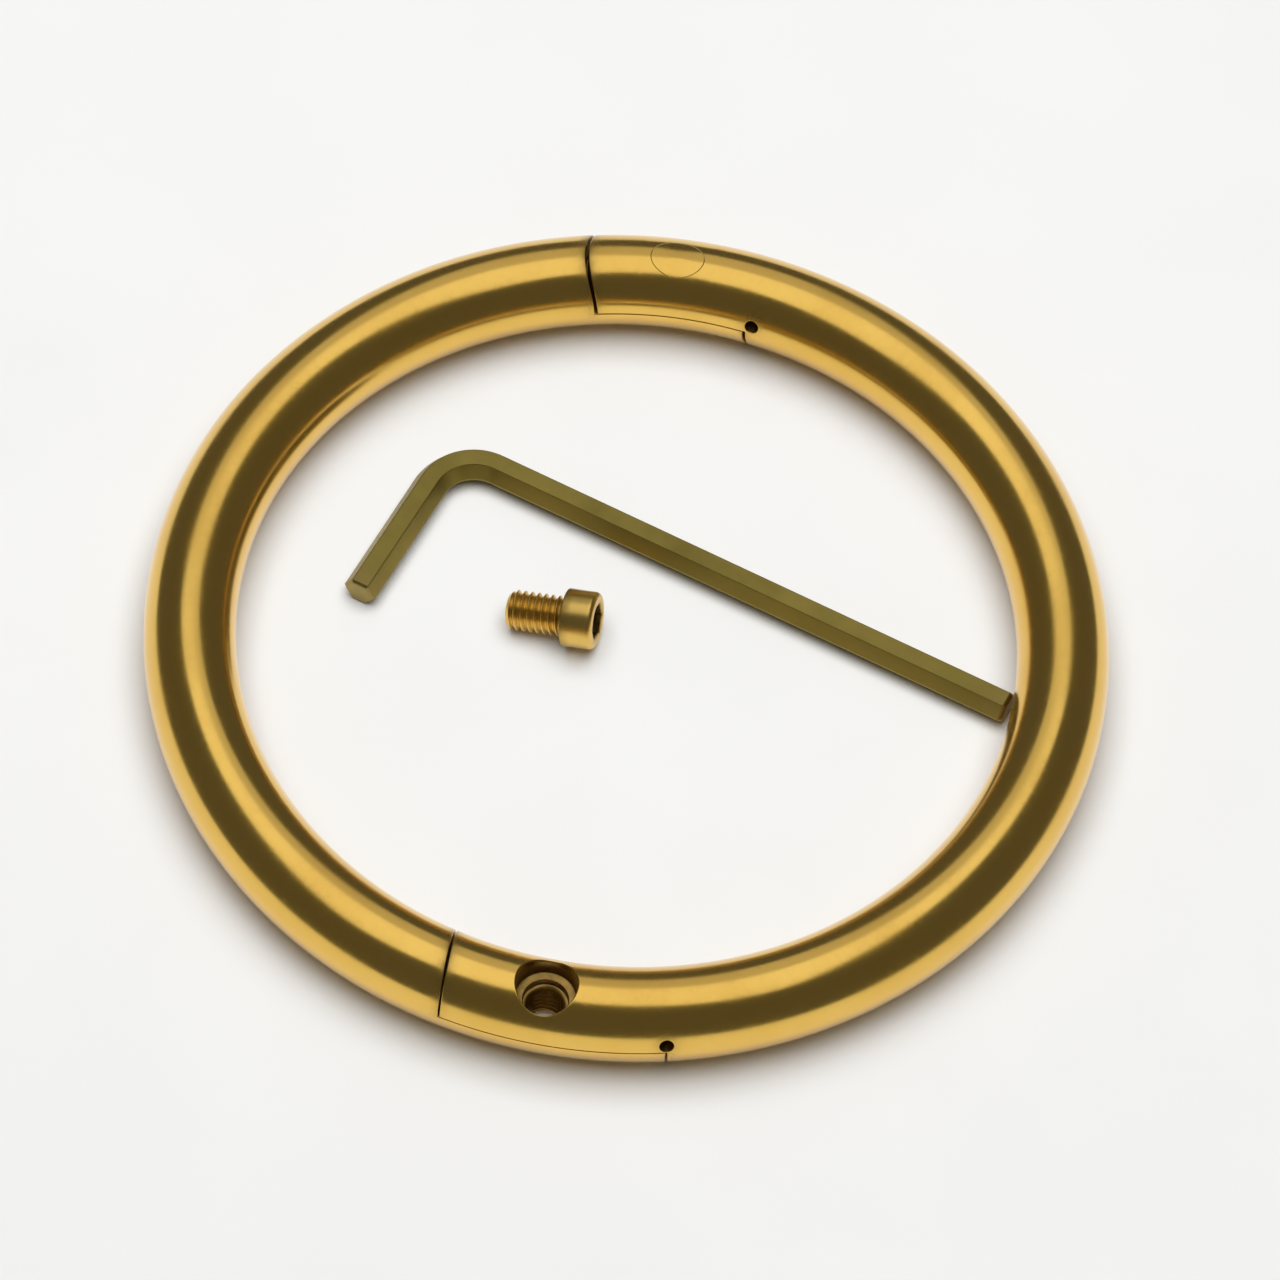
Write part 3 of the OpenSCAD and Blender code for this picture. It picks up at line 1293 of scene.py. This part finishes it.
@dataclass
class HexKey:
    """The L-shaped hex key, drawn along its middle line by Geometry Nodes.

    Attributes:
        flats: Width across its flats.
        long_arm: Length of the long arm, from the middle of the short one.
        short_arm: Length of the short arm, from the middle of the long one.
        bend: Radius of the bend, at the middle of the key.
        bevel: Bevel on both tips.
        corner: Rounding of the hexagon's corners.
        place: Where the middle lines of the arms cross, in plan.
        direction_deg: Direction of the long arm, in plan.
        tip_reach: How far from a tip's middle the worn plating reaches, in metres.
        tip_fade: Length over which it fades, in metres.
    """

    flats: float = 3.0
    long_arm: float = 61.5
    short_arm: float = 19.5
    bend: float = 5.0
    bevel: float = 0.3
    corner: float = 0.14
    place: tuple[float, float] = (-19.6, 21.3)
    direction_deg: float = -21.4
    tip_reach: float = 0.0016
    tip_fade: float = 0.0006

    def build(self, finish: bpy.types.Material) -> bpy.types.Object:
        """Sweep the hexagon along the key's middle line.

        Args:
            finish: The material that the node tree sets.

        Returns:
            The finished key, at the origin.
        """
        data = bpy.data.meshes.new("hex_key_path")
        points, radii = self._path()
        data.from_pydata(points, [(k, k + 1) for k in range(len(points) - 1)], [])
        layer = data.attributes.new("radius", "FLOAT", "POINT")
        layer.data.foreach_set("value", radii)
        path = bpy.data.objects.new("hex_key_path", data)
        bpy.context.scene.collection.objects.link(path)
        modifier = path.modifiers.new("Sweep", "NODES")
        modifier.node_group = self._tree()
        sizes = {
            "Corner Radius": self.flats / 2 / math.cos(math.pi / 6) * MM,
            "Corner Rounding": self.corner * MM,
            "Material": finish,
        }
        for item in modifier.node_group.interface.items_tree:
            if getattr(item, "in_out", "") == "INPUT" and item.name in sizes:
                modifier[item.identifier] = sizes[item.name]
        graph = bpy.context.evaluated_depsgraph_get()
        swept = bpy.data.meshes.new_from_object(path.evaluated_get(graph), depsgraph=graph)
        path.modifiers.remove(modifier)
        bpy.data.objects.remove(path)
        swept.name = "bronze_hex_key"
        mesh = bmesh.new()
        mesh.from_mesh(swept)
        bmesh.ops.remove_doubles(mesh, verts=mesh.verts, dist=MERGE)
        bmesh.ops.recalc_face_normals(mesh, faces=mesh.faces)
        ends = [Vector(points[0]), Vector(points[-1])]
        layer = mesh.verts.layers.float.new("shade_and_wear")
        for vertex in mesh.verts:
            reach = min((vertex.co - end).length for end in ends)
            vertex[layer] = math.exp(-max(reach - self.tip_reach, 0.0) / self.tip_fade)
        for part in mesh.faces:
            part.smooth = True
        mesh.to_mesh(swept)
        open_edges = sum(1 for e in mesh.edges if len(e.link_faces) != 2)
        mesh.free()
        weigh_normals(swept)
        key = bpy.data.objects.new("bronze_hex_key", swept)
        bpy.context.scene.collection.objects.link(key)
        LOG.info("%s: %d faces, %d open edges", key.name, len(swept.polygons), open_edges)
        return key

    def _path(self) -> tuple[list[Point], list[float]]:
        """The middle line from the short tip to the long tip in metres, and its scale at each point.

        Returns:
            The points, and the scale of the section at each.
        """
        flat = Matrix.Rotation(math.radians(self.direction_deg), 3, "Z")
        tip = 1 - self.bevel / (self.flats / 2 / math.cos(math.pi / 6))
        line: list[tuple[float, float, float]] = []
        bevel = self.bevel
        bevelled = ((0.0, tip), (bevel * 0.5, (1 + tip) / 2), (bevel, 1.0), (bevel + 0.15, 1.0))
        for back, scale in bevelled:
            line.append((0.0, back - self.short_arm, scale))
        for k in range(1, 12):
            line.append((0.0, -self.short_arm + 1 + (self.short_arm - self.bend - 1) * k / 12, 1.0))
        for k in range(33):
            angle = math.pi - math.pi / 2 * k / 32
            x, y = self.bend + self.bend * math.cos(angle), -self.bend + self.bend * math.sin(angle)
            line.append((x, y, 1.0))
        for k in range(1, 40):
            line.append((self.bend + (self.long_arm - self.bend - 1) * k / 40, 0.0, 1.0))
        for back, scale in reversed(bevelled):
            line.append((self.long_arm - back, 0.0, scale))
        points = []
        for x, y, _ in line:
            spot = flat @ Vector((x, y, 0.0))
            points.append(((spot.x + self.place[0]) * MM, (spot.y + self.place[1]) * MM, self.flats / 2 * MM))
        return points, [scale for _, _, scale in line]

    def _tree(self) -> bpy.types.NodeTree:
        """The node tree: middle line, rounded hexagon, sweep, material.

        Returns:
            The tree, with named inputs for its sizes.
        """
        tree = bpy.data.node_groups.new("sweep_hexagon", "GeometryNodeTree")
        face = tree.interface
        face.new_socket("Geometry", in_out="INPUT", socket_type="NodeSocketGeometry")
        face.new_socket("Corner Radius", in_out="INPUT", socket_type="NodeSocketFloat")
        face.new_socket("Corner Rounding", in_out="INPUT", socket_type="NodeSocketFloat")
        face.new_socket("Material", in_out="INPUT", socket_type="NodeSocketMaterial")
        face.new_socket("Geometry", in_out="OUTPUT", socket_type="NodeSocketGeometry")
        start, end = tree.nodes.new("NodeGroupInput"), tree.nodes.new("NodeGroupOutput")
        line = tree.nodes.new("GeometryNodeMeshToCurve")
        upright = tree.nodes.new("GeometryNodeSetCurveNormal")
        upright.mode = "Z_UP"
        hexagon = tree.nodes.new("GeometryNodeCurvePrimitiveCircle")
        hexagon.inputs["Resolution"].default_value = 6
        rounded = tree.nodes.new("GeometryNodeFilletCurve")
        rounded.mode = "POLY"
        rounded.inputs["Count"].default_value = 3
        sweep = tree.nodes.new("GeometryNodeCurveToMesh")
        sweep.inputs["Fill Caps"].default_value = True
        radius = tree.nodes.new("GeometryNodeInputNamedAttribute")
        radius.data_type = "FLOAT"
        radius.inputs["Name"].default_value = "radius"
        real = tree.nodes.new("GeometryNodeRealizeInstances")
        dress = tree.nodes.new("GeometryNodeSetMaterial")
        joins = (
            (start.outputs["Geometry"], line.inputs[0]),
            (line.outputs[0], upright.inputs[0]),
            (upright.outputs[0], sweep.inputs["Curve"]),
            (start.outputs["Corner Radius"], hexagon.inputs["Radius"]),
            (hexagon.outputs[0], rounded.inputs[0]),
            (start.outputs["Corner Rounding"], rounded.inputs["Radius"]),
            (rounded.outputs[0], sweep.inputs["Profile Curve"]),
            (radius.outputs["Attribute"], sweep.inputs["Scale"]),
            (sweep.outputs[0], real.inputs[0]),
            (real.outputs[0], dress.inputs["Geometry"]),
            (start.outputs["Material"], dress.inputs["Material"]),
            (dress.outputs[0], end.inputs[0]),
        )
        for source, target in joins:
            tree.links.new(source, target)
        return tree


# ---------------------------------------------------------------- the studio


@dataclass(frozen=True)
class SoftLight:
    """One rectangular soft light, in metres.

    Attributes:
        name: Its name.
        spot: Where it hangs.
        aim: The point that it faces.
        size: Its two sides.
        power: Its power.
        colour: Its colour.
        floor_only: True if it lights the floor and nothing else.
    """

    name: str
    spot: Point
    aim: Point
    size: tuple[float, float]
    power: float
    colour: Point
    floor_only: bool = False


SOFTBOX_WHITE = (1.0, 1.0, 1.04)
LIGHTS = (
    SoftLight("ceiling_softbox", (-0.05, 0.13, 0.62), (-0.05, 0.13, 0.0), (0.56, 0.54), 0.90, SOFTBOX_WHITE),
    SoftLight("far_softbox", (-0.05, 0.76, 0.62), (-0.05, 0.76, 0.0), (0.42, 0.72), 0.46, SOFTBOX_WHITE),
    SoftLight("floor_light", (0.0, 0.1, 1.5), (0.0, 0.0, 0.0), (1.6, 1.6), 21.5, (1.0, 1.0, 1.0), True),
)


@dataclass
class Studio:
    """The pale floor, the soft lights and the camera.

    Attributes:
        azimuth_deg: The camera's turn about the ring, from the front.
        elevation_deg: The camera's height above the floor's plane.
        roll_deg: The camera's roll.
        distance: From the camera to the middle of the ring.
        width: Width of the view at that distance.
        aside: How far the view's middle lies right of and above the ring's middle.
        sensor: Width of the camera's sensor, in millimetres.
        room: Strength of the even light from all round.
    """

    azimuth_deg: float = 2.3
    elevation_deg: float = 57.08
    roll_deg: float = 4.97
    distance: float = 0.755
    width: float = 0.12453
    aside: tuple[float, float] = (0.0012355, -0.000389)
    sensor: float = 36.0
    room: float = 0.10

    def build(self) -> None:
        """Make the floor, the lights, the world and the camera."""
        floor = self._floor()
        self._world()
        for light in LIGHTS:
            self._light(light, floor)
        self._camera()
        bpy.context.scene.view_settings.view_transform = "Standard"

    def _floor(self) -> bpy.types.Object:
        """A wide pale floor just under the ring.

        Returns:
            The floor.
        """
        mesh = bmesh.new()
        bmesh.ops.create_grid(mesh, x_segments=4, y_segments=4, size=2.5)
        data = bpy.data.meshes.new("pale_floor")
        mesh.to_mesh(data)
        mesh.free()
        floor = bpy.data.objects.new("pale_floor", data)
        bpy.context.scene.collection.objects.link(floor)
        shader = Shader("pale_floor")
        shader.set(Roughness=0.85)
        shader.surface.inputs["Specular IOR Level"].default_value = 0.1
        grain = shader.remap(shader.noise(40.0, 2.0), 0.3, 0.7, 0.0, 1.0)
        tone = shader.mix(grain, (0.90, 0.90, 0.885), (0.92, 0.92, 0.905))
        shader.link(tone, shader.surface.inputs["Base Color"])
        data.materials.append(shader.material)
        return floor

    def _world(self) -> None:
        """A dim, even, white room."""
        world = bpy.data.worlds.new("dim_room")
        world.use_nodes = True
        background = world.node_tree.nodes["Background"]
        background.inputs["Color"].default_value = (1.0, 1.0, 1.0, 1.0)
        background.inputs["Strength"].default_value = self.room
        bpy.context.scene.world = world

    def _light(self, light: SoftLight, floor: bpy.types.Object) -> None:
        """Hang one soft light.

        Args:
            light: The light.
            floor: The floor, which some lights are linked to alone.
        """
        data = bpy.data.lights.new(light.name, "AREA")
        data.shape = "RECTANGLE"
        data.size, data.size_y = light.size
        data.energy = light.power
        data.color = light.colour
        lamp = bpy.data.objects.new(light.name, data)
        lamp.location = light.spot
        lamp.rotation_euler = (Vector(light.aim) - Vector(light.spot)).to_track_quat("-Z", "Y").to_euler()
        bpy.context.scene.collection.objects.link(lamp)
        if light.floor_only:
            lit = bpy.data.collections.new(f"{light.name}_receivers")
            lit.objects.link(floor)
            lamp.light_linking.receiver_collection = lit

    def _camera(self) -> None:
        """Place the camera."""
        a, e, r = (math.radians(v) for v in (self.azimuth_deg, self.elevation_deg, self.roll_deg))
        back = Vector((math.sin(a) * math.cos(e), -math.cos(a) * math.cos(e), math.sin(e)))
        level = Vector((math.cos(a), math.sin(a), 0.0))
        rise = back.cross(level)
        right = level * math.cos(r) + rise * math.sin(r)
        up = rise * math.cos(r) - level * math.sin(r)
        aim = Vector((0.0, 0.0, Bar().bar * MM)) + right * self.aside[0] + up * self.aside[1]
        data = bpy.data.cameras.new("camera")
        data.sensor_width = self.sensor
        data.lens = self.sensor * self.distance / self.width
        data.clip_start = 0.01
        camera = bpy.data.objects.new("camera", data)
        turn = Matrix((right, up, back)).transposed().to_4x4()
        camera.matrix_world = Matrix.Translation(aim + back * self.distance) @ turn
        bpy.context.scene.collection.objects.link(camera)
        bpy.context.scene.camera = camera


# ---------------------------------------------------------------- the whole object


def ring_halves() -> tuple[RingHalf, RingHalf]:
    """Set out the two halves of the ring.

    Returns:
        The right half and the left half.
    """
    bar = Bar()
    over, under = bar.over_flat, 2 * bar.bar - bar.under_flat
    rivet_foot = 2 * bar.bar - bar.rivet_sink
    loose_rivet, tight_rivet = bar.rivet + 0.01, bar.rivet
    far_hole = 90.0 - math.degrees(math.asin((bar.knuckle + bar.knuckle_gap / 2) / bar.ring))
    # The third value of each wall step is the painted shade on the bore's wall.
    counterbore = Bore(
        theta=bar.hole,
        mouth=lambda z: 2.95,
        wall=((2.95, 5.95, 1.0), (2.9, 5.75, 0.5), (2.25, 5.75, 0.1), (2.15, 5.65, 0.6), (2.15, over, 1.0)),
    )
    tapped = Bore(
        theta=-180.0 - bar.hole,
        mouth=lambda z: 1.75,
        wall=((1.75, 8.4, 0.5), (1.65, 8.3, 0.8), (2.0, under, 0.6)),
        thread=Thread(),
    )
    right_rivet = Bore(
        theta=90.0,
        mouth=lambda z: loose_rivet + z - rivet_foot,
        wall=((loose_rivet, rivet_foot, 0.0), (loose_rivet, over, 0.0)),
        lip=0.006,
    )
    left_rivet = Bore(
        theta=90.0,
        mouth=lambda z: tight_rivet + z - rivet_foot,
        wall=((tight_rivet, rivet_foot, 0.0), (tight_rivet, under, 0.0)),
        lip=0.006,
    )
    right = RingHalf(
        name="brass_right_half",
        flat=over,
        hole=bar.hole,
        long_off=bar.upper_seam - bar.seam_half,
        shoulder_off=bar.lower_seam + bar.seam_half,
        bores=(counterbore, right_rivet),
        dimples=(
            Dimple(theta=bar.stop_hole, height=bar.stop_height, outer=True),
            Dimple(theta=far_hole, height=bar.stop_height, outer=False),
        ),
        turned=False,
    )
    left = RingHalf(
        name="brass_left_half",
        flat=under,
        hole=-180.0 - bar.hole,
        long_off=bar.lower_seam - bar.seam_half,
        shoulder_off=bar.upper_seam + bar.seam_half,
        bores=(tapped, left_rivet),
        dimples=(),
        turned=True,
    )
    return right, left


def main() -> None:
    """Build the object, dress it and set the studio."""
    logging.basicConfig(level=logging.INFO, format="%(name)s: %(message)s")
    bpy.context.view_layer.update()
    ring_brass, screw_brass, key_bronze = RING_BRASS.make(), SCREW_BRASS.make(), KEY_BRONZE.make()
    right, left = ring_halves()
    finish_piece(right.build(), ring_brass, Body.RIGHT, Node.RIGHT)
    finish_piece(left.build(), ring_brass, Body.LEFT, Node.LEFT)
    finish_piece(HingeRivet().build(), ring_brass, Body.LEFT, Node.RIVET)
    finish_piece(ClosingScrew().build(), screw_brass, Body.SCREW, Node.SCREW)
    finish_piece(HexKey().build(key_bronze), key_bronze, Body.KEY, Node.KEY)
    Studio().build()


if __name__ == "__main__":
    main()
